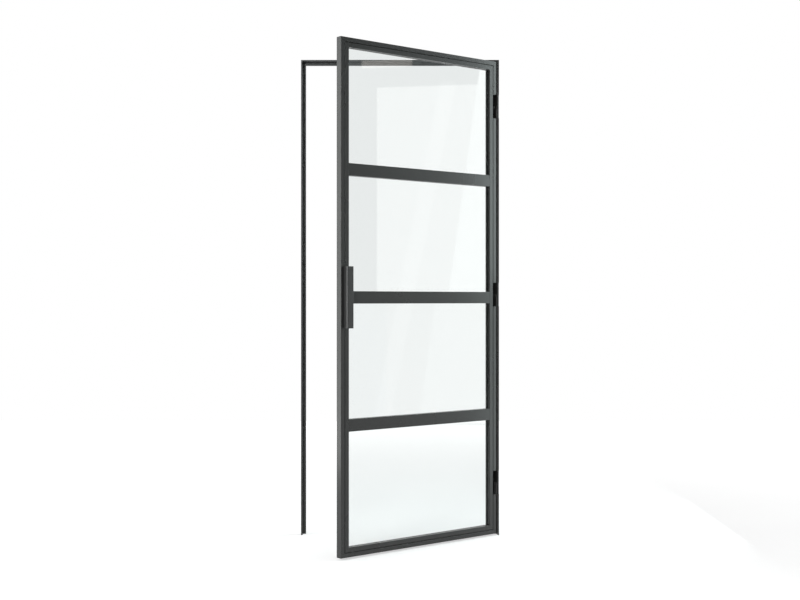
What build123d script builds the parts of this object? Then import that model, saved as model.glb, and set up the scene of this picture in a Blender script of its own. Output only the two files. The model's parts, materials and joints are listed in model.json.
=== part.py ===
"""Slim steel door for indoors: a glazed leaf with four equal panes, on pin hinges in a three-sided frame.

Millimetres. X runs to the hinge side, Y away from the side the leaf opens to, Z up.
The origin is on the floor, halfway across the frame, in the plane of the frame's front face.
"""

import os

from build123d import *

# Door frame: a flat tube beside the leaf, and a small tube welded on it as the stop behind the leaf
FRAME_WIDTH = 875.0
FRAME_HEIGHT = 2100.0
FRAME_FACE = 20.0
FLANGE = 6.5
STOP_DEPTH = 6.5
FRAME_WALL = 1.5
FRAME_EDGE_RADIUS = 1.0

# Leaf: an L-shaped hollow tube all round, whose lip holds the glass from behind
LEAF_DEPTH = 30.0
LEAF_FACE = 40.0
TUBE_FACE = 18.0
LEAF_WALL = 1.5
LEAF_EDGE_RADIUS = 1.5
GROOVE_EDGE_RADIUS = 0.8
LEAF_GAP = 2.5
FLOOR_GAP = 8.0
STOP_GAP = 3.5
OPEN_ANGLE = 39.65

# Glazing: bead, gasket, glass and tape, from the front to the lip
GROOVE = 2.5
BEAD_DEPTH = 12.0
BEAD_WALL = 1.2
BEAD_SLOT = 4.0
GASKET = 1.0
GASKET_SET_BACK = 0.5
GASKET_WIDTH = 9.0
GLASS = 6.0
GLASS_BITE = 10.0
GLAZING_TAPE = 1.0

# Applied bars, on both faces of the glass
BAR_COUNT = 3
BAR_HEIGHT = 50.0
BAR_WALL = 1.2
BAR_TAPE_MARGIN = 3.0

# Studs that the beads clip on, and the blocks under the glass
STUD_NECK = 3.6
STUD_HEAD = 6.5
STUD_HEAD_DEPTH = 1.2
STUD_PLAY = 0.1
STUDS_PER_STILE = 5
STUDS_PER_RAIL = 3
STUD_END = 90.0
BLOCK_LENGTH = 60.0
BLOCK_OFFSET = 250.0

# Hinges: the lowest is set from the floor, the highest from the top of the frame
HINGE_NAMES = ("bottom", "middle", "top")
HINGE_FROM_FLOOR = 233.0
HINGE_FROM_TOP = 207.0
HINGE_HEIGHT = 103.0
BARREL = 9.0
PIN = 5.0
PIN_PLAY = 0.05
PIN_OUT = 6.3
PIN_ASIDE = 0.5
PIN_TOP_PLAY = 1.5
CAP_THICKNESS = 4.0
WASHER = 0.9
WASHER_PLAY = 0.1
BARREL_EDGE = 0.5

# The leaf's wing lies on a block at the bottom of a pocket, and the jamb has a notch as deep
WING = 2.2
POCKET_DEPTH = 11.5
POCKET_PLAY = 0.5
WING_WIDTH = 17.5
WING_OUT = 1.5
BLOCK_EXTRA = 18.0

# The frame's tongue is inside the hollow flange of the jamb
TONGUE_PLAY = 0.1
TONGUE_DEPTH = 31.0
TONGUE_EXTRA = 18.0

# Screws: thread, head and the places of the hinge screws from the middle of each hinge
SCREW = 4.0
SCREW_CLEARANCE = 0.2
LOW_HEAD = 7.6
LOW_HEAD_DEPTH = 1.3
SUNK_HEAD = 7.6
SUNK_HEAD_DEPTH = 2.1
SCREW_SOCKET = 2.5
SOCKET_SHARE = 0.6
FRAME_SCREW_Y = 21.0
FRAME_SCREW_RISE = 30.0
LEAF_SCREW_RISES = (13.5, 38.5)
LEAF_SCREW_LENGTH = 12.0
LEAF_SCREW_RUN_OUT = 1.5

# Seals and catch
SEAL_WIDTH = 4.3
SEAL_PLAY = 0.3
SEAL_RADIUS = 1.4
MAGNET_LENGTH = 80.0
MAGNET_WIDTH = 8.0
MAGNET_PLAY = 0.25

# Corner cleats
CLEAT_LEG = 72.0
CLEAT_START = 5.0
CLEAT_WIDTH = 26.0
CLEAT_SCREWS = (28.0, 56.0)

# Holes through the jambs for the fixings into the wall
FIXING_HOLE = 5.5
FIXING_Y = 17.0
FIXING_FROM_FLOOR = 90.0
FIXING_FROM_TOP = 120.0
FIXING_COUNT = 4

# Pull handle: an angle of folded plate, welded to the latch stile by the edge of its web
HANDLE_LENGTH = 248.0
HANDLE_WIDTH = 30.5
HANDLE_PROUD = 24.0
HANDLE_PLATE = 3.0
HANDLE_BEND = 1.5
HANDLE_TIP_RADIUS = 0.8
HANDLE_END_CHAMFER = 0.6
HANDLE_INSET = 14.0

# Worked out from the sizes above
FRAME_DEPTH = LEAF_DEPTH + STOP_GAP + STOP_DEPTH
STOP_FRONT = LEAF_DEPTH + STOP_GAP
LEAF_X = FRAME_WIDTH / 2 - FLANGE - LEAF_GAP
LEAF_TOP = FRAME_HEIGHT - FLANGE - LEAF_GAP
LEAF_HEIGHT = LEAF_TOP - FLOOR_GAP
LEAF_MIDDLE = FLOOR_GAP + LEAF_HEIGHT / 2
REBATE_X = FRAME_WIDTH / 2 - FLANGE
OPENING_X = LEAF_X - LEAF_FACE
GLASS_FRONT = BEAD_DEPTH + GASKET
GLASS_BACK = GLASS_FRONT + GLASS
LIP_FRONT = GLASS_BACK + GLAZING_TAPE
PANE_HEIGHT = (LEAF_HEIGHT - 2 * LEAF_FACE - BAR_COUNT * BAR_HEIGHT) / (BAR_COUNT + 1)
BEAD_FROM_EDGE = TUBE_FACE + GROOVE
GLASS_FROM_EDGE = LEAF_FACE - GLASS_BITE
PIN_X = REBATE_X + PIN_ASIDE
PIN_Y = -PIN_OUT
KNUCKLE = (HINGE_HEIGHT - WASHER - WASHER_PLAY) / 2
HINGE_SPACING = (FRAME_HEIGHT - HINGE_FROM_TOP - HINGE_FROM_FLOOR) / (len(HINGE_NAMES) - 1)
HINGE_CENTRES = [HINGE_FROM_FLOOR + HINGE_SPACING * i for i in range(len(HINGE_NAMES))]
POCKET_HALF = HINGE_HEIGHT / 2 + POCKET_PLAY
SCREW_HOLE = SCREW + 2 * SCREW_CLEARANCE
FIXING_SPACING = (FRAME_HEIGHT - FIXING_FROM_TOP - FIXING_FROM_FLOOR) / (FIXING_COUNT - 1)
FIXING_ZS = [FIXING_FROM_FLOOR + FIXING_SPACING * i for i in range(FIXING_COUNT)]

FRAME_RECTANGLE = (-FRAME_WIDTH / 2, FRAME_WIDTH / 2, 0.0, FRAME_HEIGHT)
LEAF_RECTANGLE = (-LEAF_X, LEAF_X, FLOOR_GAP, LEAF_TOP)
PIN_AXIS = Axis((PIN_X, PIN_Y, 0), (0, 0, 1))


def block(x, y, z):
    """Box between the pairs of limits x, y and z."""
    spans = [abs(limits[1] - limits[0]) for limits in (x, y, z)]
    centre = [sum(limits) / 2 for limits in (x, y, z)]
    return Pos(*centre) * Box(*spans)


def rod(radius, start, end):
    """Solid cylinder between two points on a line along an axis."""
    line = Vector(end) - Vector(start)
    return Plane(start, z_dir=line).location * Cylinder(
        radius, line.length, align=(Align.CENTER, Align.CENTER, Align.MIN)
    )


def outline(points, rounds=None):
    """Flat face through the points, with corners rounded by {corner number: radius}."""
    face = Face(Wire.make_polygon(points))
    for corner, radius in (rounds or {}).items():
        place = Vector(points[corner])
        nearest = min(face.vertices(), key=lambda v: (Vector(v) - place).length)
        face = face.fillet_2d(radius, [nearest])
    return face


def across(points):
    """Section points given as (inward, depth), on the plane that members are drawn on."""
    return [(0, inward, depth) for inward, depth in points]


def side_of(rectangle, side):
    """Plane along one side of a rectangle, with x along the side, y inward and z in depth, and its length."""
    left, right, low, high = rectangle
    corner, along = {
        "left": ((left, 0, low), (0, 0, 1)),
        "top": ((left, 0, high), (1, 0, 0)),
        "right": ((right, 0, high), (0, 0, -1)),
        "bottom": ((right, 0, low), (-1, 0, 0)),
    }[side]
    length = high - low if side in ("left", "right") else right - left
    return Plane(corner, x_dir=along, z_dir=(0, 1, 0)), length


def member(section, rectangle, side, width, square_ends=()):
    """Length of a section along one side of a rectangle, mitred at both ends unless an end is square."""
    plane, length = side_of(rectangle, side)
    bar = extrude(section, length, dir=(1, 0, 0))
    start = 0 if "start" in square_ends else width
    end = length if "end" in square_ends else length - width
    mitre = outline([(0, 0, 0), (length, 0, 0), (end, width, 0), (start, width, 0)])
    keep = extrude(mitre, section.bounding_box().max.Z, dir=(0, 0, 1))
    return plane.location * (bar & keep)


def l_tube(face, leg, lip_front, depth, wall, radius, leg_radius):
    """Hollow L section: a leg as wide as leg over the whole depth, and a lip from lip_front back."""
    outer = [(0, 0), (leg, 0), (leg, lip_front), (face, lip_front), (face, depth), (0, depth)]
    inner = [
        (wall, wall),
        (leg - wall, wall),
        (leg - wall, lip_front + wall),
        (face - wall, lip_front + wall),
        (face - wall, depth - wall),
        (wall, depth - wall),
    ]
    rounds = {0: radius, 1: leg_radius, 3: radius, 4: radius, 5: radius}
    return outline(across(outer), rounds) - outline(across(inner))


def box_tube(near, far, front, back, wall, rounds):
    """Hollow rectangular section between two distances inward and two depths."""
    outer = [(near, front), (far, front), (far, back), (near, back)]
    inner = [
        (near + wall, front + wall),
        (far - wall, front + wall),
        (far - wall, back - wall),
        (near + wall, back - wall),
    ]
    return outline(across(outer), rounds) - outline(across(inner))


def ring(rectangle, from_edge, width, front, back):
    """Flat rectangular ring, from_edge inside the rectangle, between two depths."""
    left, right, low, high = rectangle
    inner = from_edge + width
    outside = block((left + from_edge, right - from_edge), (front, back), (low + from_edge, high - from_edge))
    inside = block((left + inner, right - inner), (front, back), (low + inner, high - inner))
    return outside - inside


def hang(shape):
    """Turn a piece of the closed leaf about the hinge pins to where the door stands open."""
    return shape.rotate(PIN_AXIS, OPEN_ANGLE)


def low_head_screw(seat, along, length):
    """Screw with a low round head on the seat, and its shank going along a direction."""
    seat, along = Vector(seat), Vector(along)
    top = seat - along * LOW_HEAD_DEPTH
    screw = rod(LOW_HEAD / 2, top, seat) + rod(SCREW / 2, seat, seat + along * length)
    return screw - rod(SCREW_SOCKET / 2, top, top + along * LOW_HEAD_DEPTH * SOCKET_SHARE)


def sunk_cone(seat, along, hole):
    """Countersink, or the head that fills it, in a surface at seat."""
    plane = Plane(seat, z_dir=along)
    return plane.location * Cone(
        SUNK_HEAD / 2, hole / 2, SUNK_HEAD_DEPTH, align=(Align.CENTER, Align.CENTER, Align.MIN)
    )


def sunk_screw(seat, along, length):
    """Countersunk screw whose head is flush with a surface at seat."""
    seat, along = Vector(seat), Vector(along)
    screw = sunk_cone(seat, along, SCREW) + rod(SCREW / 2, seat, seat + along * length)
    return screw - rod(SCREW_SOCKET / 2, seat, seat + along * SUNK_HEAD_DEPTH * SOCKET_SHARE)


def three_sides(section):
    """A section along the latch jamb, the hinge jamb and the head, square at the floor."""
    return (
        member(section, FRAME_RECTANGLE, "left", FRAME_FACE, ("start",)),
        member(section, FRAME_RECTANGLE, "right", FRAME_FACE, ("end",)),
        member(section, FRAME_RECTANGLE, "top", FRAME_FACE),
    )


def frame_members():
    """The two jambs and the head, with the notches, screw holes and fixing holes of the jambs."""
    radius = FRAME_EDGE_RADIUS
    tube = box_tube(0, FLANGE, 0, FRAME_DEPTH, FRAME_WALL, {0: radius, 1: radius, 3: radius})
    latch, hinge, head = three_sides(tube)
    edge = FRAME_WIDTH / 2
    for z in FIXING_ZS:
        latch -= rod(FIXING_HOLE / 2, (-edge, FIXING_Y, z), (-REBATE_X, FIXING_Y, z))
        hinge -= rod(FIXING_HOLE / 2, (REBATE_X, FIXING_Y, z), (edge, FIXING_Y, z))
    for z in HINGE_CENTRES:
        hinge -= block((REBATE_X, edge), (0, POCKET_DEPTH), (z - POCKET_HALF, z + POCKET_HALF))
        for rise in (-FRAME_SCREW_RISE, FRAME_SCREW_RISE):
            place = (FRAME_SCREW_Y, z + rise)
            hinge -= rod(SCREW_HOLE / 2, (REBATE_X, *place), (REBATE_X + FRAME_WALL, *place))
    for seat, along in cleat_screw_places(-1):
        latch -= rod(SCREW_HOLE / 2, seat, seat + along * FRAME_WALL)
        head -= rod(SCREW_HOLE / 2, seat, seat + along * FRAME_WALL)
    for seat, along in cleat_screw_places(1):
        hinge -= rod(SCREW_HOLE / 2, seat, seat + along * FRAME_WALL)
        head -= rod(SCREW_HOLE / 2, seat, seat + along * FRAME_WALL)
    return {"latch_jamb": latch, "hinge_jamb": hinge, "frame_head": head}


def cleat_screw_places(hand):
    """Seat and direction of each cleat screw at one top corner: hand is -1 at the latch, 1 at the hinges."""
    y = CLEAT_START + CLEAT_WIDTH / 2
    places = []
    for step in CLEAT_SCREWS:
        places.append((Vector(hand * REBATE_X, y, FRAME_HEIGHT - step), Vector(hand, 0, 0)))
        beside = hand * (FRAME_WIDTH / 2 - step)
        places.append((Vector(beside, y, FRAME_HEIGHT - FLANGE), Vector(0, 0, 1)))
    return places


def corner_cleats():
    """The two angles that join the jambs to the head, and their screws."""
    inset = FRAME_WALL + TONGUE_PLAY
    thick = FLANGE - 2 * inset
    depth = (CLEAT_START, CLEAT_START + CLEAT_WIDTH)
    top = FRAME_HEIGHT - inset
    screws = []
    cleats = {}
    for name, hand in (("latch", -1), ("hinge", 1)):
        outer = hand * (FRAME_WIDTH / 2 - inset)
        upright = block((outer, outer - hand * thick), depth, (top - CLEAT_LEG, top))
        level = block((outer, outer - hand * CLEAT_LEG), depth, (top - thick, top))
        cleat = upright + level
        for seat, along in cleat_screw_places(hand):
            cleat -= rod(SCREW / 2, seat, seat + along * FLANGE)
            screws.append(low_head_screw(seat, along, inset + thick))
        cleats[f"{name}_corner_cleat"] = cleat
    return {**cleats, "cleat_screws": Compound(screws)}


def frame_stops():
    """Tubes on the jambs and the head that the closed leaf comes up against."""
    radius = FRAME_EDGE_RADIUS
    tube = box_tube(FLANGE, FRAME_FACE, STOP_FRONT, FRAME_DEPTH, FRAME_WALL, {1: radius, 2: radius})
    return dict(zip(("latch_stop", "hinge_stop", "head_stop"), three_sides(tube)))


def frame_seals():
    """Rounded seals on the front of the stop, in the corner beside the flange."""
    near, far = FLANGE, FLANGE + SEAL_WIDTH
    front = LEAF_DEPTH + SEAL_PLAY
    points = [(near, front), (far, front), (far, STOP_FRONT), (near, STOP_FRONT)]
    section = outline(across(points), {0: SEAL_RADIUS, 1: SEAL_RADIUS})
    return dict(zip(("latch_seal", "hinge_seal", "head_seal"), three_sides(section)))


def catch_magnet():
    """Magnet strip behind the front wall of the latch side's stop, level with the handle."""
    edge = -REBATE_X + (FRAME_FACE - FLANGE - MAGNET_WIDTH) / 2
    front = STOP_FRONT + FRAME_WALL
    back = FRAME_DEPTH - FRAME_WALL - MAGNET_PLAY
    half = MAGNET_LENGTH / 2
    return block((edge, edge + MAGNET_WIDTH), (front, back), (LEAF_MIDDLE - half, LEAF_MIDDLE + half))


def frame_hinge_half(z):
    """Lower knuckle with a neck to the tongue inside the jamb's flange."""
    low = z - HINGE_HEIGHT / 2
    high = low + KNUCKLE
    inset = FRAME_WALL + TONGUE_PLAY
    thick = (FRAME_WIDTH / 2 - inset, REBATE_X + inset)
    reach = POCKET_HALF + TONGUE_EXTRA
    knuckle = rod(BARREL / 2, (PIN_X, PIN_Y, low), (PIN_X, PIN_Y, high))
    knuckle = chamfer(knuckle.edges().group_by(Axis.Z)[0], BARREL_EDGE)
    tongue = block(thick, (inset, TONGUE_DEPTH), (z - reach, z + reach))
    tongue -= block(thick, (0, POCKET_DEPTH), (z - POCKET_HALF, z + POCKET_HALF))
    neck = block(thick, (PIN_Y, POCKET_DEPTH), (low, high))
    half = knuckle + tongue + neck - rod(PIN / 2, (PIN_X, PIN_Y, low), (PIN_X, PIN_Y, high))
    for rise in (-FRAME_SCREW_RISE, FRAME_SCREW_RISE):
        place = (FRAME_SCREW_Y, z + rise)
        half -= rod(SCREW / 2, (REBATE_X, *place), (FRAME_WIDTH / 2, *place))
    return half


def leaf_hinge_half(z):
    """Upper knuckle with its wing, which goes back beside the leaf's edge and turns onto the block."""
    high = z + HINGE_HEIGHT / 2
    low = high - KNUCKLE
    near = LEAF_X - WING_OUT
    floor = POCKET_DEPTH
    knuckle = rod(BARREL / 2, (PIN_X, PIN_Y, low), (PIN_X, PIN_Y, high))
    knuckle = chamfer(knuckle.edges().group_by(Axis.Z)[-1], BARREL_EDGE)
    web = block((near, near + WING), (PIN_Y, floor), (low, high))
    foot = block((near + WING - WING_WIDTH, near), (floor - WING, floor), (low, high))
    bore = rod(PIN / 2 + PIN_PLAY, (PIN_X, PIN_Y, low), (PIN_X, PIN_Y, high - CAP_THICKNESS))
    half = knuckle + web + foot - bore
    for seat in leaf_screw_seats(z):
        half -= rod(SCREW / 2, seat, seat + Vector(0, WING, 0)) + sunk_cone(seat, (0, 1, 0), SCREW)
    return half


def leaf_screw_seats(z):
    """Where the leaf wing's screws are flush with its front."""
    x = LEAF_X - TUBE_FACE / 2
    return [Vector(x, POCKET_DEPTH - WING, z + rise) for rise in LEAF_SCREW_RISES]


def leaf_hinge_block(z):
    """Solid block welded inside the hinge stile, whose face is the bottom of the hinge's pocket."""
    reach = POCKET_HALF + BLOCK_EXTRA
    wide = (LEAF_X - TUBE_FACE + LEAF_WALL, LEAF_X - LEAF_WALL)
    solid = block(wide, (LEAF_WALL, LEAF_DEPTH - LEAF_WALL), (z - reach, z + reach))
    solid -= block(wide, (0, POCKET_DEPTH), (z - POCKET_HALF, z + POCKET_HALF))
    for seat in leaf_screw_seats(z):
        solid -= rod(SCREW / 2, seat, seat + Vector(0, LEAF_SCREW_LENGTH + LEAF_SCREW_RUN_OUT, 0))
    return solid


def hinges():
    """All pieces of the three hinges: those of the frame, and those of the leaf as they hang."""
    pieces = {}
    frame_screws = []
    leaf_screws = []
    for name, z in zip(HINGE_NAMES, HINGE_CENTRES):
        low = z - HINGE_HEIGHT / 2
        joint = low + KNUCKLE
        pin_top = z + HINGE_HEIGHT / 2 - CAP_THICKNESS - PIN_TOP_PLAY
        washer = rod(BARREL / 2, (PIN_X, PIN_Y, joint), (PIN_X, PIN_Y, joint + WASHER))
        washer -= rod(PIN / 2 + PIN_PLAY, (PIN_X, PIN_Y, joint), (PIN_X, PIN_Y, joint + WASHER))
        pieces[f"frame_hinge_half_{name}"] = frame_hinge_half(z)
        pieces[f"hinge_pin_{name}"] = rod(PIN / 2, (PIN_X, PIN_Y, low), (PIN_X, PIN_Y, pin_top))
        pieces[f"hinge_washer_{name}"] = washer
        pieces[f"leaf_hinge_half_{name}"] = hang(leaf_hinge_half(z))
        pieces[f"leaf_hinge_block_{name}"] = hang(leaf_hinge_block(z))
        for rise in (-FRAME_SCREW_RISE, FRAME_SCREW_RISE):
            seat = (REBATE_X, FRAME_SCREW_Y, z + rise)
            frame_screws.append(low_head_screw(seat, (1, 0, 0), FLANGE - FRAME_WALL))
        for seat in leaf_screw_seats(z):
            leaf_screws.append(hang(sunk_screw(seat, (0, 1, 0), LEAF_SCREW_LENGTH)))
    pieces["frame_hinge_screws"] = Compound(frame_screws)
    pieces["leaf_hinge_screws"] = Compound(leaf_screws)
    return pieces


def leaf_members():
    """The stiles and rails, with the hinge pockets."""
    rounds = (LEAF_EDGE_RADIUS, GROOVE_EDGE_RADIUS)
    tube = l_tube(LEAF_FACE, TUBE_FACE, LIP_FRONT, LEAF_DEPTH, LEAF_WALL, *rounds)
    sides = {"latch_stile": "left", "hinge_stile": "right", "top_rail": "top", "bottom_rail": "bottom"}
    members = {name: member(tube, LEAF_RECTANGLE, side, LEAF_FACE) for name, side in sides.items()}
    for z in HINGE_CENTRES:
        members["hinge_stile"] -= block(
            (LEAF_X - TUBE_FACE, LEAF_X), (0, POCKET_DEPTH), (z - POCKET_HALF, z + POCKET_HALF)
        )
    return members


def beads():
    """Glazing beads: a C section, open to the stud heads through a slot on its outer side."""
    near, far = BEAD_FROM_EDGE, LEAF_FACE
    body = [(near, 0), (far, 0), (far, BEAD_DEPTH), (near, BEAD_DEPTH)]
    hollow = [
        (near + BEAD_WALL, BEAD_WALL),
        (far - BEAD_WALL, BEAD_WALL),
        (far - BEAD_WALL, BEAD_DEPTH - BEAD_WALL),
        (near + BEAD_WALL, BEAD_DEPTH - BEAD_WALL),
    ]
    low, high = (BEAD_DEPTH - BEAD_SLOT) / 2, (BEAD_DEPTH + BEAD_SLOT) / 2
    slot = [(near, low), (near + BEAD_WALL, low), (near + BEAD_WALL, high), (near, high)]
    section = outline(across(body), {0: GROOVE_EDGE_RADIUS, 1: LEAF_EDGE_RADIUS})
    section = section - outline(across(hollow)) - outline(across(slot))
    sides = {"latch_bead": "left", "hinge_bead": "right", "top_bead": "top", "bottom_bead": "bottom"}
    return {name: member(section, LEAF_RECTANGLE, side, LEAF_FACE) for name, side in sides.items()}


def bead_studs():
    """Studs on the inner wall of the leaf's tube, with their heads inside the beads."""
    studs = []
    middle = BEAD_DEPTH / 2
    inside = BEAD_FROM_EDGE + BEAD_WALL + STUD_PLAY
    for side in ("left", "right", "top", "bottom"):
        count = STUDS_PER_STILE if side in ("left", "right") else STUDS_PER_RAIL
        plane, length = side_of(LEAF_RECTANGLE, side)
        step = (length - 2 * STUD_END) / (count - 1)
        for i in range(count):
            s = STUD_END + step * i
            neck = rod(STUD_NECK / 2, (s, TUBE_FACE, middle), (s, inside, middle))
            head = rod(STUD_HEAD / 2, (s, inside, middle), (s, inside + STUD_HEAD_DEPTH, middle))
            studs.append(plane.location * (neck + head))
    return Compound(studs)


def glazing():
    """The glass with its gasket, tape and setting blocks."""
    left, right, low, high = LEAF_RECTANGLE
    glass = block(
        (left + GLASS_FROM_EDGE, right - GLASS_FROM_EDGE),
        (GLASS_FRONT, GLASS_BACK),
        (low + GLASS_FROM_EDGE, high - GLASS_FROM_EDGE),
    )
    from_edge = LEAF_FACE - GASKET_SET_BACK - GASKET_WIDTH
    blocks = []
    for x in (-BLOCK_OFFSET, BLOCK_OFFSET):
        span = (x - BLOCK_LENGTH / 2, x + BLOCK_LENGTH / 2)
        blocks.append(block(span, (GLASS_FRONT, GLASS_BACK), (low + TUBE_FACE, low + GLASS_FROM_EDGE)))
    return {
        "glass_sheet": glass,
        "glazing_gasket": ring(LEAF_RECTANGLE, from_edge, GASKET_WIDTH, BEAD_DEPTH, GLASS_FRONT),
        "glazing_tape": ring(LEAF_RECTANGLE, from_edge, GASKET_WIDTH, GLASS_BACK, LIP_FRONT),
        "setting_blocks": Compound(blocks),
    }


def hollow_bar(z, front, back, round_front):
    """Flat hollow bar across the glass, rounded on the face that shows."""
    low, high = z - BAR_HEIGHT / 2, z + BAR_HEIGHT / 2
    end = -OPENING_X
    body = [(end, front, low), (end, front, high), (end, back, high), (end, back, low)]
    corners = (0, 1) if round_front else (2, 3)
    section = outline(body, {corner: BAR_WALL for corner in corners})
    bar = extrude(section, 2 * OPENING_X, dir=(1, 0, 0))
    inside = block((end, OPENING_X), (front + BAR_WALL, back - BAR_WALL), (low + BAR_WALL, high - BAR_WALL))
    return bar - inside


def bars():
    """Bars on the front and the back of the glass, and the tapes that bond them."""
    pieces = {}
    tapes = {"front": [], "back": []}
    for i in range(BAR_COUNT):
        z = FLOOR_GAP + LEAF_FACE + (i + 1) * PANE_HEIGHT + (i + 0.5) * BAR_HEIGHT
        pieces[f"front_bar_{i + 1}"] = hollow_bar(z, 0, BEAD_DEPTH, True)
        pieces[f"back_bar_{i + 1}"] = hollow_bar(z, LIP_FRONT, LEAF_DEPTH, False)
        half = BAR_HEIGHT / 2 - BAR_TAPE_MARGIN
        spans = {"front": (BEAD_DEPTH, GLASS_FRONT), "back": (GLASS_BACK, LIP_FRONT)}
        for name, depth in spans.items():
            tapes[name].append(block((-OPENING_X, OPENING_X), depth, (z - half, z + half)))
    pieces["front_bar_tapes"] = Compound(tapes["front"])
    pieces["back_bar_tapes"] = Compound(tapes["back"])
    return pieces


def pull_handle():
    """Angle of folded plate: a web that stands on the stile, and a flange gripped from the glass side."""
    web = HANDLE_INSET - LEAF_X
    tip = web + HANDLE_WIDTH
    low = LEAF_MIDDLE - HANDLE_LENGTH / 2
    face, inner = -HANDLE_PROUD, HANDLE_PLATE - HANDLE_PROUD
    points = [
        (web, 0, low),
        (web, face, low),
        (tip, face, low),
        (tip, inner, low),
        (web + HANDLE_PLATE, inner, low),
        (web + HANDLE_PLATE, 0, low),
    ]
    rounds = {1: HANDLE_BEND + HANDLE_PLATE, 2: HANDLE_TIP_RADIUS, 3: HANDLE_TIP_RADIUS, 4: HANDLE_BEND}
    handle = extrude(outline(points, rounds), HANDLE_LENGTH, dir=(0, 0, 1))
    ends = handle.faces().sort_by(Axis.Z)
    proud = [edge for end in (ends[0], ends[-1]) for edge in end.edges() if edge.bounding_box().max.Y < 0]
    return chamfer(proud, HANDLE_END_CHAMFER)


def leaf():
    """Every piece of the leaf, closed, apart from its hinge halves."""
    return {
        **leaf_members(),
        **beads(),
        "bead_studs": bead_studs(),
        **glazing(),
        **bars(),
        "pull_handle": pull_handle(),
    }


def door():
    """Every node of the door as it stands open."""
    frame = {**frame_members(), **corner_cleats(), **frame_stops(), **frame_seals()}
    hung = {name: hang(shape) for name, shape in leaf().items()}
    return {**frame, "catch_magnet": catch_magnet(), **hinges(), **hung}


os.makedirs("parts", exist_ok=True)
for node, solid in door().items():
    export_step(solid, f"parts/{node}.step")
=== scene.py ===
"""Looks of a slim black steel door: a glazed leaf with bars, hung open in its own three-sided frame.

Metres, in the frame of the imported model: X to the hinge side, Y away from the side the leaf opens to, Z up.
"""

import json
import math
from collections import namedtuple

import bpy
from mathutils import Matrix, Vector


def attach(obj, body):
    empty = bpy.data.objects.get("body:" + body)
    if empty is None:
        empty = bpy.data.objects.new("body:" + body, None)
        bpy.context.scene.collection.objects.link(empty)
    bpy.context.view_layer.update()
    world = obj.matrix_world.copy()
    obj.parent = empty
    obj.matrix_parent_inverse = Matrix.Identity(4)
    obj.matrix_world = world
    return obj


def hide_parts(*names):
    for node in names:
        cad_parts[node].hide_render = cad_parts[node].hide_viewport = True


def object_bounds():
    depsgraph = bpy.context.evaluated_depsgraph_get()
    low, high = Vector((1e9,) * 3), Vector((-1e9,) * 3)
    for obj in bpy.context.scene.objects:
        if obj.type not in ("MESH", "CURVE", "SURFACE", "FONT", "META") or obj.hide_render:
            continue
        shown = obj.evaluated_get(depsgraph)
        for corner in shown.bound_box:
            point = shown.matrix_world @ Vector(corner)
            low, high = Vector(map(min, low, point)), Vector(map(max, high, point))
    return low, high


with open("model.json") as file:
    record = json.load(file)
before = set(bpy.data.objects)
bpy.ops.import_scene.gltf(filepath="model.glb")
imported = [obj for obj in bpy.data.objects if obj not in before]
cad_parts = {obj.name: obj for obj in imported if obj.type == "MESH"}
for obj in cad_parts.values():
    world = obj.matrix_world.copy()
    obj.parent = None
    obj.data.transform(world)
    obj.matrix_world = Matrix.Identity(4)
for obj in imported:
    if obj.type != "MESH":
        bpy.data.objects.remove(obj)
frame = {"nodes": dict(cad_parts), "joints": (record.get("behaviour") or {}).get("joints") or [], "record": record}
cad_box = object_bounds()

MM = 0.001

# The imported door: the outsides of hinge jamb and head, the hinge pins, and how far the leaf stands open
JAMB_OUTSIDE = cad_box[1].x
HEAD_OUTSIDE = cad_box[1].z
LEAF_SWING = frame["joints"][0]
PIN_X, PIN_Y = LEAF_SWING["pos_m"][:2]
OPEN_ANGLE = -math.radians(LEAF_SWING["range_deg"][0])

# Photograph's view
CAMERA_PLACE = (0.0, -5.572, 1.039)
CAMERA_LENS = 56.745
SENSOR_WIDTH = 36.0


# Node trees

def feed(tree, source, socket):
    """Gives a socket the output of another node, or a plain value."""
    if isinstance(source, bpy.types.NodeSocket):
        tree.links.new(source, socket)
    else:
        socket.default_value = source


def add(tree, kind, inputs=None, **settings):
    """Node of a kind with its settings, and with outputs of other nodes or plain values on its inputs."""
    node = tree.nodes.new(kind)
    for setting, value in settings.items():
        setattr(node, setting, value)
    for socket, source in (inputs or {}).items():
        feed(tree, source, node.inputs[socket])
    return node


def worked_out(tree, operation, first, second=0.0):
    """Result of one sum."""
    return add(tree, "ShaderNodeMath", {0: first, 1: second}, operation=operation).outputs[0]


def spread(tree, value, start, end, low=0.0, high=1.0, kind="LINEAR"):
    """Value that goes from low to high while another goes from start to end."""
    limits = {"Value": value, "From Min": start, "From Max": end, "To Min": low, "To Max": high}
    return add(tree, "ShaderNodeMapRange", limits, interpolation_type=kind).outputs["Result"]


def noise(tree, place, scale, detail, roughness, distortion=0.0):
    """Cloudy noise over a piece."""
    inputs = {
        "Vector": place, "Scale": scale, "Detail": detail, "Roughness": roughness, "Distortion": distortion,
    }
    return add(tree, "ShaderNodeTexNoise", inputs).outputs["Fac"]


def mixed_colour(tree, mask, first, second):
    """Colour that goes from first to second with a mask."""
    mix = add(tree, "ShaderNodeMix", {0: mask}, data_type="RGBA")
    sides = [socket for socket in mix.inputs if socket.type == "RGBA"]
    for side, colour in zip(sides, (first, second)):
        feed(tree, colour if isinstance(colour, bpy.types.NodeSocket) else (*colour, 1.0), side)
    return next(socket for socket in mix.outputs if socket.type == "RGBA")


def new_group(name, inputs, outputs):
    """Shader node group with named sockets, and its input and output nodes."""
    group = bpy.data.node_groups.new(name, "ShaderNodeTree")
    for label, kind, value in inputs:
        socket = group.interface.new_socket(label, in_out="INPUT", socket_type=kind)
        if value is not None:
            socket.default_value = value
    for label, kind in outputs:
        group.interface.new_socket(label, in_out="OUTPUT", socket_type=kind)
    return group, group.nodes.new("NodeGroupInput"), group.nodes.new("NodeGroupOutput")


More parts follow.
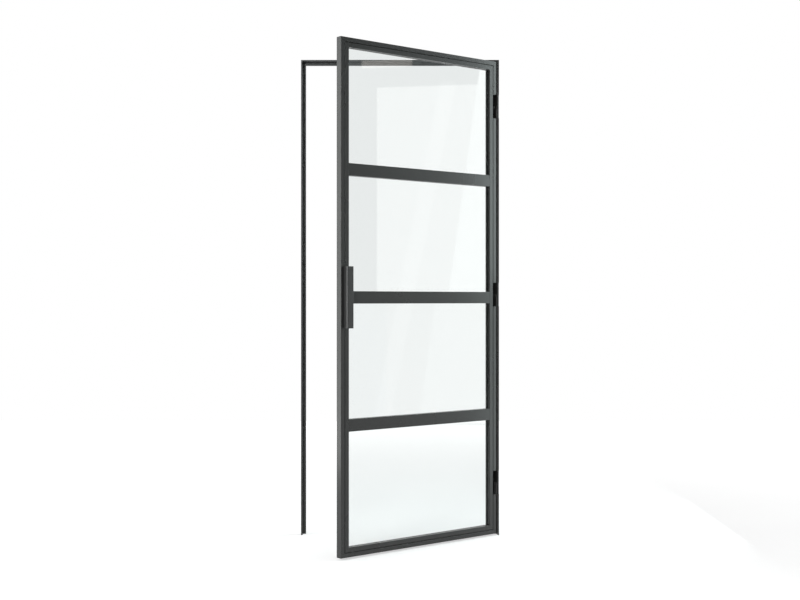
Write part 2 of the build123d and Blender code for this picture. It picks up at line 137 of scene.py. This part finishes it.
def make_grain_group():
    """Fine grain of a coat: a height for bumps, and a tone that drifts slowly over the piece."""
    group, given, out = new_group(
        "coat_grain",
        [("Place", "NodeSocketVector", None), ("Grain Size", "NodeSocketFloat", 0.7 * MM)],
        [("Height", "NodeSocketFloat"), ("Tone", "NodeSocketFloat")],
    )
    place = given.outputs["Place"]
    scale = worked_out(group, "DIVIDE", 1.0, given.outputs["Grain Size"])
    fine = noise(group, place, scale, detail=2.0, roughness=0.55)
    pebbles = add(group, "ShaderNodeTexVoronoi", {"Vector": place, "Scale": scale}, feature="SMOOTH_F1")
    height = worked_out(group, "SUBTRACT", fine, pebbles.outputs["Distance"])
    drift = noise(group, place, 2.2, detail=3.0, roughness=0.5)
    feed(group, height, out.inputs["Height"])
    feed(group, spread(group, drift, 0.3, 0.7), out.inputs["Tone"])
    return group


def make_dust_group():
    """Thin dust that settles on what faces up, broken into patches."""
    group, given, out = new_group(
        "settled_dust",
        [("Place", "NodeSocketVector", None), ("Amount", "NodeSocketFloat", 0.3)],
        [("Mask", "NodeSocketFloat")],
    )
    surface = add(group, "ShaderNodeNewGeometry")
    facing = add(group, "ShaderNodeSeparateXYZ", {0: surface.outputs["Normal"]})
    facing_up = spread(group, facing.outputs["Z"], 0.55, 0.98)
    patches = noise(group, given.outputs["Place"], 70.0, detail=4.0, roughness=0.6)
    thick = spread(group, patches, 0.38, 0.62, low=0.35)
    settled = worked_out(group, "MULTIPLY", facing_up, thick)
    feed(group, worked_out(group, "MULTIPLY", settled, given.outputs["Amount"]), out.inputs["Mask"])
    return group


def make_marks_group():
    """Fine parallel marks of ground or rolled metal along one direction."""
    group, given, out = new_group(
        "metal_marks",
        [("Place", "NodeSocketVector", None), ("Stretch", "NodeSocketVector", (900.0, 900.0, 40.0))],
        [("Marks", "NodeSocketFloat")],
    )
    stretched = add(
        group, "ShaderNodeVectorMath", {0: given.outputs["Place"], 1: given.outputs["Stretch"]},
        operation="MULTIPLY",
    )
    marks = noise(group, stretched.outputs[0], 1.0, detail=3.0, roughness=0.65)
    feed(group, marks, out.inputs["Marks"])
    return group


GRAIN = make_grain_group()
DUST = make_dust_group()
MARKS = make_marks_group()


# Finishes: each has its darkest and lightest colour and its range of roughness. A coat has the size and depth
# of its grain and how glossy it is, and a metal's marks run along the axes on which they are stretched least.
Coat = namedtuple("Coat", "dark light roughness grain_size grain_depth gloss", defaults=(0.5,))
Metal = namedtuple("Metal", "dark light roughness stretch")

DUST_COLOUR = (0.36, 0.35, 0.33)
DUST_AMOUNT = 0.25
COAT_BUMP = 0.35
METAL_BUMP = 0.15
METAL_MARK_DEPTH = 0.03 * MM
WHITE = (1.0, 1.0, 1.0)


def grey(level):
    return (level, level, level)


COATS = {
    "powder_coated_steel": Coat(
        (0.015, 0.0155, 0.015), (0.018, 0.0185, 0.018), (0.26, 0.30),
        grain_size=0.7 * MM, grain_depth=0.04 * MM,
    ),
    "handle_coat": Coat(grey(0.026), grey(0.032), (0.28, 0.32), grain_size=0.7 * MM, grain_depth=0.04 * MM),
    "hinge_coat": Coat(
        grey(0.007), grey(0.010), (0.30, 0.36), grain_size=0.5 * MM, grain_depth=0.02 * MM, gloss=0.25
    ),
    "washer_nylon": Coat(grey(0.010), grey(0.014), (0.45, 0.52), grain_size=0.4 * MM, grain_depth=0.01 * MM),
    "screw_steel": Coat(
        (0.012, 0.012, 0.013), (0.02, 0.02, 0.021), (0.28, 0.36),
        grain_size=0.4 * MM, grain_depth=0.01 * MM,
    ),
    "seal_rubber": Coat(grey(0.038), grey(0.046), (0.52, 0.62), grain_size=0.4 * MM, grain_depth=0.02 * MM),
    "gasket_rubber": Coat(grey(0.005), grey(0.008), (0.66, 0.76), grain_size=0.4 * MM, grain_depth=0.02 * MM),
    "block_plastic": Coat(grey(0.02), grey(0.03), (0.45, 0.55), grain_size=0.6 * MM, grain_depth=0.02 * MM),
}
METALS = {
    "pin_steel": Metal((0.42, 0.42, 0.43), (0.60, 0.60, 0.61), (0.22, 0.34), stretch=(40, 40, 2500)),
    "bare_steel": Metal((0.44, 0.44, 0.43), (0.62, 0.62, 0.60), (0.32, 0.46), stretch=(700, 700, 60)),
    "magnet": Metal((0.40, 0.40, 0.39), (0.56, 0.56, 0.55), (0.18, 0.30), stretch=(300, 300, 120)),
}


def new_material(name):
    """Material with a Principled shader, its node tree, that shader, and the place on the piece."""
    material = bpy.data.materials.new(name)
    material.use_nodes = True
    tree = material.node_tree
    return material, tree, tree.nodes["Principled BSDF"], add(tree, "ShaderNodeTexCoord").outputs["Object"]


def bump(tree, shader, height, strength, depth):
    node = add(tree, "ShaderNodeBump", {"Strength": strength, "Distance": depth, "Height": height})
    feed(tree, node.outputs["Normal"], shader.inputs["Normal"])


def coated(name, coat):
    """Coat on metal, plastic or rubber: fine grain, a slowly drifting tone and a little settled dust."""
    material, tree, shader, place = new_material(name)
    grain = add(tree, "ShaderNodeGroup", node_tree=GRAIN)
    feed(tree, place, grain.inputs["Place"])
    feed(tree, coat.grain_size, grain.inputs["Grain Size"])
    settled = add(tree, "ShaderNodeGroup", node_tree=DUST)
    feed(tree, place, settled.inputs["Place"])
    feed(tree, DUST_AMOUNT, settled.inputs["Amount"])
    tone = grain.outputs["Tone"]
    colour = mixed_colour(tree, tone, coat.dark, coat.light)
    dusty = mixed_colour(tree, settled.outputs["Mask"], colour, DUST_COLOUR)
    feed(tree, dusty, shader.inputs["Base Color"])
    feed(tree, spread(tree, tone, 0.0, 1.0, *coat.roughness), shader.inputs["Roughness"])
    shader.inputs["Specular IOR Level"].default_value = coat.gloss
    bump(tree, shader, grain.outputs["Height"], COAT_BUMP, coat.grain_depth)
    return material


def bright_metal(name, metal):
    """Bare or plated steel with fine marks along one direction."""
    material, tree, shader, place = new_material(name)
    brushed = add(tree, "ShaderNodeGroup", node_tree=MARKS)
    feed(tree, place, brushed.inputs["Place"])
    feed(tree, metal.stretch, brushed.inputs["Stretch"])
    marks = brushed.outputs["Marks"]
    feed(tree, mixed_colour(tree, marks, metal.dark, metal.light), shader.inputs["Base Color"])
    feed(tree, spread(tree, marks, 0.0, 1.0, *metal.roughness), shader.inputs["Roughness"])
    shader.inputs["Metallic"].default_value = 1.0
    bump(tree, shader, marks, METAL_BUMP, METAL_MARK_DEPTH)
    return material


def clear_glass():
    """Clear float glass with a very thin film of wiping marks."""
    material, tree, shader, place = new_material("clear_glass")
    wipes = noise(tree, place, 3.0, detail=5.0, roughness=0.6, distortion=1.2)
    tint = mixed_colour(tree, wipes, (0.82, 0.845, 0.84), (0.84, 0.865, 0.86))
    feed(tree, tint, shader.inputs["Base Color"])
    feed(tree, spread(tree, wipes, 0.0, 1.0, 0.0, 0.02), shader.inputs["Roughness"])
    shader.inputs["IOR"].default_value = 1.5
    shader.inputs["Transmission Weight"].default_value = 1.0
    return material


FINISHES = {name: coated(name, coat) for name, coat in COATS.items()}
FINISHES.update({name: bright_metal(name, metal) for name, metal in METALS.items()})
FINISHES["clear_glass"] = clear_glass()

for part in frame["record"]["subparts"]:
    node = frame["nodes"][part["node"]]
    for slot in node.material_slots:
        slot.material = FINISHES[part["material_slot"]]


# Screws: the CAD's plain ones at their own seats, with hexagon sockets and rounded heads. Each head goes from
# its width down to the width under it, and the length is that of the shank without its tip.
Screw = namedtuple("Screw", "width depth under length")
SHANK = 4.0 * MM
LOW_SCREW = Screw(width=7.6 * MM, depth=1.3 * MM, under=7.0 * MM, length=4.6 * MM)
SUNK_SCREW = Screw(width=7.6 * MM, depth=2.1 * MM, under=SHANK + 0.1 * MM, length=9.4 * MM)
SHANK_EXTRA = 0.02 * MM
TIP_INSET = 0.5 * MM
TIP_LENGTH = 0.4 * MM
SOCKET = 2.5 * MM
SOCKET_SHARE = 0.6
DRILL_INSET = 0.35 * MM
DRILL_DEPTH = 0.15 * MM
RIM_ROUND = 0.22 * MM
RIM_SHARE = 0.9
TOUCH = 0.01 * MM
ROUND_SIDES = 36
SMOOTH_ANGLE = math.radians(35)

# Where their seats are, on the frame, and on the closed leaf for the screws of the wings
FLANGE = 6.5 * MM
JAMB_INSIDE = JAMB_OUTSIDE - FLANGE
HEAD_UNDERSIDE = HEAD_OUTSIDE - FLANGE
BOTTOM_HINGE = 233.0 * MM
TOP_HINGE = HEAD_OUTSIDE - 207.0 * MM
HINGE_CENTRES = (BOTTOM_HINGE, (BOTTOM_HINGE + TOP_HINGE) / 2, TOP_HINGE)
FRAME_SCREW_Y = 21.0 * MM
FRAME_SCREW_RISES = (-30.0 * MM, 30.0 * MM)
CLEAT_SCREW_Y = 18.0 * MM
CLEAT_SCREW_STEPS = (28.0 * MM, 56.0 * MM)
LEAF_GAP = 2.5 * MM
TUBE_FACE = 18.0 * MM
WING_FRONT = 9.3 * MM
WING_SCREW_X = JAMB_INSIDE - LEAF_GAP - TUBE_FACE / 2
WING_SCREW_RISES = (13.5 * MM, 38.5 * MM)


def select_only(piece):
    bpy.ops.object.select_all(action="DESELECT")
    piece.select_set(True)
    bpy.context.view_layer.objects.active = piece


def select_in_edit_mode(piece, kind, found):
    """Goes into edit mode on a piece with only the faces or edges selected that found gives."""
    bpy.ops.object.mode_set(mode="EDIT")
    bpy.ops.mesh.select_mode(type=kind)
    bpy.ops.mesh.select_all(action="DESELECT")
    bpy.ops.object.mode_set(mode="OBJECT")
    for element in found(piece.data):
        element.select = True
    bpy.ops.object.mode_set(mode="EDIT")


def faces_below(mesh):
    return [face for face in mesh.polygons if face.normal.z < -0.5]


def rim_edges(mesh, form):
    """Edges round the top of a screw's head, outside its socket."""
    lowest = form.depth - TOUCH
    innermost = RIM_SHARE * form.width / 2
    rim = {v.index for v in mesh.vertices if v.co.z > lowest and v.co.xy.length > innermost}
    return [edge for edge in mesh.edges if rim.issuperset(edge.vertices)]


def add_cylinder(sides, radius, depth, middle):
    """Upright cylinder on the Z axis, with its place in its mesh."""
    bpy.ops.object.select_all(action="DESELECT")
    bpy.ops.mesh.primitive_cylinder_add(vertices=sides, radius=radius, depth=depth, location=(0, 0, middle))
    bpy.ops.object.transform_apply(location=True)
    return bpy.context.object


def turned_screw(name, form):
    """Screw that points down from its seat at the origin: a round head with a socket, a shank and a tip."""
    screw = add_cylinder(ROUND_SIDES, form.width / 2, form.depth, form.depth / 2)
    screw.name = name
    select_in_edit_mode(screw, "FACE", faces_below)
    share = form.under / form.width
    bpy.ops.transform.resize(value=(share, share, 1))
    bpy.ops.mesh.inset(thickness=(form.under - SHANK) / 2 - SHANK_EXTRA)
    bpy.ops.mesh.extrude_region_move(TRANSFORM_OT_translate={"value": (0, 0, -form.length)})
    bpy.ops.mesh.inset(thickness=TIP_INSET)
    bpy.ops.transform.translate(value=(0, 0, -TIP_LENGTH))
    bpy.ops.object.mode_set(mode="OBJECT")
    cut_socket(screw, form.depth)
    select_in_edit_mode(screw, "EDGE", lambda mesh: rim_edges(mesh, form))
    bpy.ops.mesh.bevel(offset=RIM_ROUND, segments=3)
    bpy.ops.object.mode_set(mode="OBJECT")
    select_only(screw)
    bpy.ops.object.shade_smooth_by_angle(angle=SMOOTH_ANGLE)
    return screw


def cut_socket(screw, top):
    """Cuts a hexagon socket with a drilled bottom in the head of a screw."""
    tool = add_cylinder(6, SOCKET / math.sqrt(3), 2 * top * SOCKET_SHARE, top)
    select_in_edit_mode(tool, "FACE", faces_below)
    bpy.ops.mesh.inset(thickness=DRILL_INSET)
    bpy.ops.transform.translate(value=(0, 0, -DRILL_DEPTH))
    bpy.ops.object.mode_set(mode="OBJECT")
    select_only(screw)
    cut = screw.modifiers.new("socket", "BOOLEAN")
    cut.operation = "DIFFERENCE"
    cut.solver = "EXACT"
    cut.object = tool
    bpy.ops.object.modifier_apply(modifier=cut.name)
    bpy.data.objects.remove(tool, do_unlink=True)


def set_screws(pattern, name, body, places, stands_in_for):
    """Copies of a screw at each seat, pointing along a direction, as one piece of a body."""
    bpy.ops.object.select_all(action="DESELECT")
    copies = []
    for seat, along in places:
        copy = pattern.copy()
        copy.data = pattern.data.copy()
        bpy.context.scene.collection.objects.link(copy)
        turn = Vector(along).to_track_quat("-Z", "Y").to_matrix().to_4x4()
        copy.matrix_world = Matrix.Translation(seat) @ turn
        copy.select_set(True)
        copies.append(copy)
    bpy.context.view_layer.objects.active = copies[0]
    bpy.ops.object.transform_apply(location=True, rotation=True, scale=True)
    bpy.ops.object.join()
    screws = bpy.context.object
    screws.name = name
    screws.data.materials.clear()
    screws.data.materials.append(FINISHES["screw_steel"])
    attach(screws, body)
    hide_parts(stands_in_for)


def frame_hinge_seats():
    """Seats of the screws that hold each hinge's tongue in the jamb, and their direction."""
    heights = [z + rise for z in HINGE_CENTRES for rise in FRAME_SCREW_RISES]
    return [((JAMB_INSIDE, FRAME_SCREW_Y, z), (1, 0, 0)) for z in heights]


def corner_seats():
    """Seats of the screws in the jamb and the head at both top corners, and their direction."""
    seats = []
    for hand in (-1, 1):
        for step in CLEAT_SCREW_STEPS:
            seats.append(((hand * JAMB_INSIDE, CLEAT_SCREW_Y, HEAD_OUTSIDE - step), (hand, 0, 0)))
            seats.append(((hand * (JAMB_OUTSIDE - step), CLEAT_SCREW_Y, HEAD_UNDERSIDE), (0, 0, 1)))
    return seats


def wing_seats():
    """Seats of the screws in the leaf's hinge wings as the leaf hangs, and their direction."""
    cosine, sine = math.cos(OPEN_ANGLE), math.sin(OPEN_ANGLE)
    across = WING_SCREW_X - PIN_X
    back = WING_FRONT + SUNK_SCREW.depth - PIN_Y
    x = PIN_X + across * cosine - back * sine
    y = PIN_Y + across * sine + back * cosine
    return [((x, y, z + rise), (-sine, cosine, 0)) for z in HINGE_CENTRES for rise in WING_SCREW_RISES]


def fit_screws():
    """The low-head screws of the frame and the countersunk ones of the leaf's hinge wings."""
    low = turned_screw("low_head_screw", LOW_SCREW)
    set_screws(low, "frame_hinge_socket_screws", "door_frame", frame_hinge_seats(), "frame_hinge_screws")
    set_screws(low, "corner_socket_screws", "door_frame", corner_seats(), "cleat_screws")
    bpy.data.objects.remove(low, do_unlink=True)
    sunk = turned_screw("sunk_screw", SUNK_SCREW)
    set_screws(sunk, "wing_socket_screws", "door_leaf", wing_seats(), "leaf_hinge_screws")
    bpy.data.objects.remove(sunk, do_unlink=True)


fit_screws()

# Stage: the level of light on plain surfaces and that of the dim room that gloss meets, and how far backwards
# a direction points where that room begins to go over into the white behind the door, and where it is white.
# LEAST_SIDEWAYS keeps the division that places the cards from growing without end straight ahead.
PLAIN_LEVEL = 0.45
ROOM_LEVEL = 0.06
BACKDROP_EDGE = (0.2, 0.7)
LEAST_SIDEWAYS = 0.01

# The floor ends where the leaf's lowest bar hides its edge, and its glow rises with the distance
FLOOR_REACH = 5.25
FLOOR_GREY = 0.55
FLOOR_ROUGHNESS = 0.9
FLOOR_GLOW_RISE = (0.9, 4.5)
FLOOR_GLOW = (0.47, 0.84)

# What the glass mirrors of the room, as pale cards far off to the sides. Each has its near and far edge, as
# the distance behind the door over the distance to the side, how much those edges lean with height, its foot
# and its head in the same measure, how soft its edges are, its level and its tint. BAR_2 and BAR_3 are the
# heights that those bars hide from the camera, where one card gives way to the next.
Card = namedtuple("Card", "near far lean foot head soft level tint")
LEFT_OF_GLASS = -0.260
RIGHT_OF_GLASS = -0.090
BELOW_GLASS = -0.300
BAR_3 = -0.098
BAR_2 = 0.001
BRIGHT_TOP = 0.172
ABOVE_GLASS = 0.300
WARM = (1.00, 1.00, 0.97)
COOL = (0.92, 1.00, 1.00)
CARDS = (
    Card(LEFT_OF_GLASS, RIGHT_OF_GLASS, 0.00, BAR_3, ABOVE_GLASS, 0.002, 0.60, (0.90, 1.00, 1.00)),
    Card(-0.208, RIGHT_OF_GLASS, 0.00, BAR_2, BRIGHT_TOP, 0.001, 1.25, WARM),
    Card(-0.200, RIGHT_OF_GLASS, 0.00, BAR_3, BAR_2, 0.001, 0.90, WARM),
    Card(-0.2207, -0.179, 0.00, 0.1882, 0.1940, 0.0004, 1.60, (1.00, 0.93, 0.85)),
    Card(-0.191, -0.178, 0.20, BAR_3, 0.175, 0.001, 0.25, WHITE),
    Card(-0.150, -0.050, 0.14, BAR_2, ABOVE_GLASS, 0.001, 0.65, COOL),
    Card(-0.150, RIGHT_OF_GLASS, 0.14, BRIGHT_TOP, ABOVE_GLASS, 0.001, 1.25, WARM),
    Card(-0.160, -0.050, 0.14, BAR_3, BAR_2, 0.001, 0.35, COOL),
    Card(LEFT_OF_GLASS, -0.200, 0.00, BAR_3, BAR_2, 0.001, 0.75, (0.94, 1.00, 1.00)),
    Card(LEFT_OF_GLASS, -0.165, 0.10, BELOW_GLASS, BAR_3, 0.002, 0.70, (1.00, 0.99, 0.97)),
    Card(LEFT_OF_GLASS, -0.135, 0.10, BELOW_GLASS, BAR_3, 0.002, 0.80, WHITE),
)

# Soft lamps, each facing a point: how wide and high it is, and how bright it looks
Lamp = namedtuple("Lamp", "place towards width height level tint", defaults=(WHITE,))
GREENISH = (0.88, 1.0, 1.0)
LAMPS = {
    "lamp_right_high": Lamp((1.5, 0.40, 2.20), (0.0, 0.40, 2.20), 1.08, 2.1, 5.0, GREENISH),
    "lamp_right_low": Lamp((1.5, 0.40, 0.60), (0.0, 0.40, 0.60), 1.08, 1.1, 2.4, GREENISH),
    "lamp_left": Lamp((-1.5, -0.33, 1.34), (0.0, -0.33, 1.34), 0.36, 2.3, 3.5, (0.97, 1.0, 0.98)),
    "lamp_behind_camera": Lamp((-2.55, -7.2, 2.5), (-0.4, 0.0, 1.2), 1.4, 3.8, 18.0, (0.96, 1.0, 1.0)),
    "lamp_left_front": Lamp((-3.5, -3.5, 1.9), (-0.2, -0.4, 1.0), 2.4, 2.4, 3.0),
    "lamp_above": Lamp((0.0, -0.6, 4.6), (0.0, -0.2, 0.0), 3.0, 3.0, 1.5),
    "lamp_back": Lamp((0.6, 5.5, 2.4), (0.0, 0.0, 1.0), 2.4, 2.0, 1.2),
}


def soft_step(tree, value, start, soft):
    """0 before a value and 1 past it, over a soft edge."""
    return spread(tree, worked_out(tree, "SUBTRACT", value, start), -soft, soft, kind="SMOOTHSTEP")


def card_mask(tree, back, height, card):
    """Where gloss meets one pale card of the room."""
    upright = worked_out(tree, "SUBTRACT", back, worked_out(tree, "MULTIPLY", height, card.lean))
    past_near, past_far = (soft_step(tree, upright, edge, card.soft) for edge in (card.near, card.far))
    past_foot, past_head = (soft_step(tree, height, edge, card.soft) for edge in (card.foot, card.head))
    across = worked_out(tree, "SUBTRACT", past_near, past_far)
    along = worked_out(tree, "SUBTRACT", past_foot, past_head)
    return worked_out(tree, "MULTIPLY", across, along)


def mirrored_room(tree):
    """Colour of what gloss meets: a dim room with pale cards at its sides, and white behind the door."""
    towards = add(tree, "ShaderNodeTexCoord").outputs["Generated"]
    direction = add(tree, "ShaderNodeSeparateXYZ", {0: towards})
    sideways = worked_out(tree, "ABSOLUTE", direction.outputs["X"])
    sideways = worked_out(tree, "MAXIMUM", sideways, LEAST_SIDEWAYS)
    back = worked_out(tree, "DIVIDE", direction.outputs["Y"], sideways)
    height = worked_out(tree, "DIVIDE", direction.outputs["Z"], sideways)
    masks = [card_mask(tree, back, height, card) for card in CARDS]
    behind = spread(tree, direction.outputs["Y"], *BACKDROP_EDGE, low=ROOM_LEVEL, kind="SMOOTHSTEP")
    channels = {}
    for channel in range(3):
        level = behind
        for card, mask in zip(CARDS, masks):
            glow = worked_out(tree, "MULTIPLY", mask, card.level * card.tint[channel])
            level = worked_out(tree, "ADD", level, glow)
        channels[channel] = level
    return add(tree, "ShaderNodeCombineColor", channels).outputs[0]


def studio_surroundings():
    """White behind the door for the camera, plain light for surfaces, and the mirrored room for gloss."""
    world = bpy.data.worlds.new("studio")
    world.use_nodes = True
    bpy.context.scene.world = world
    tree = world.node_tree
    path = add(tree, "ShaderNodeLightPath")
    glass_ray = path.outputs["Is Transmission Ray"]
    once_mirrored = worked_out(tree, "MINIMUM", path.outputs["Glossy Depth"], 1.0)
    behind_glass = worked_out(tree, "MULTIPLY", glass_ray, once_mirrored)
    mirrored = worked_out(tree, "MAXIMUM", path.outputs["Is Glossy Ray"], behind_glass)
    lit = mixed_colour(tree, mirrored, grey(PLAIN_LEVEL), mirrored_room(tree))
    straight = worked_out(tree, "SUBTRACT", glass_ray, behind_glass)
    through = worked_out(tree, "MAXIMUM", path.outputs["Is Camera Ray"], straight)
    sky = tree.nodes["Background"]
    feed(tree, mixed_colour(tree, through, lit, WHITE), sky.inputs["Color"])
    sky.inputs["Strength"].default_value = 1.0


def seen_directly(tree):
    """1 for what the camera sees straight on, in gloss or through glass."""
    path = add(tree, "ShaderNodeLightPath")
    seen = worked_out(tree, "MAXIMUM", path.outputs["Is Camera Ray"], path.outputs["Is Glossy Ray"])
    return worked_out(tree, "MAXIMUM", seen, path.outputs["Is Transmission Ray"])


def studio_floor():
    """Pale floor that keeps the door's shadow and goes over into the white behind it."""
    bpy.ops.object.select_all(action="DESELECT")
    bpy.ops.mesh.primitive_plane_add(size=2 * FLOOR_REACH, location=(0, 0, 0))
    floor = bpy.context.object
    floor.name = "studio_floor"
    material, tree, shader, place = new_material("studio_floor")
    shader.inputs["Base Color"].default_value = (*grey(FLOOR_GREY), 1.0)
    shader.inputs["Roughness"].default_value = FLOOR_ROUGHNESS
    shader.inputs["Specular IOR Level"].default_value = 0.0
    shader.inputs["Emission Color"].default_value = (*WHITE, 1.0)
    distance = add(tree, "ShaderNodeVectorMath", {0: place}, operation="LENGTH").outputs["Value"]
    glow = spread(tree, distance, *FLOOR_GLOW_RISE, *FLOOR_GLOW)
    feed(tree, worked_out(tree, "MULTIPLY", glow, seen_directly(tree)), shader.inputs["Emission Strength"])
    floor.data.materials.append(material)


def softbox(name, lamp):
    """Large soft lamp that looks evenly bright; only gloss and plain surfaces see it."""
    light = bpy.data.lights.new(name, "AREA")
    light.shape = "RECTANGLE"
    light.size = lamp.width
    light.size_y = lamp.height
    light.energy = lamp.level * math.pi * lamp.width * lamp.height
    light.color = lamp.tint
    box = bpy.data.objects.new(name, light)
    bpy.context.scene.collection.objects.link(box)
    box.location = lamp.place
    box.rotation_euler = (Vector(lamp.towards) - Vector(lamp.place)).to_track_quat("-Z", "Y").to_euler()
    box.visible_camera = False
    box.visible_transmission = False


def photo_camera():
    """Camera where the photograph was taken from, level and square to the frame."""
    camera = bpy.data.cameras.new("photo_camera")
    camera.sensor_width = SENSOR_WIDTH
    camera.lens = CAMERA_LENS
    stand = bpy.data.objects.new("photo_camera", camera)
    bpy.context.scene.collection.objects.link(stand)
    stand.location = CAMERA_PLACE
    stand.rotation_euler = (math.pi / 2, 0, 0)
    bpy.context.scene.camera = stand


studio_surroundings()
studio_floor()
for name, lamp in LAMPS.items():
    softbox(name, lamp)
photo_camera()
bpy.context.scene.view_settings.view_transform = "Standard"
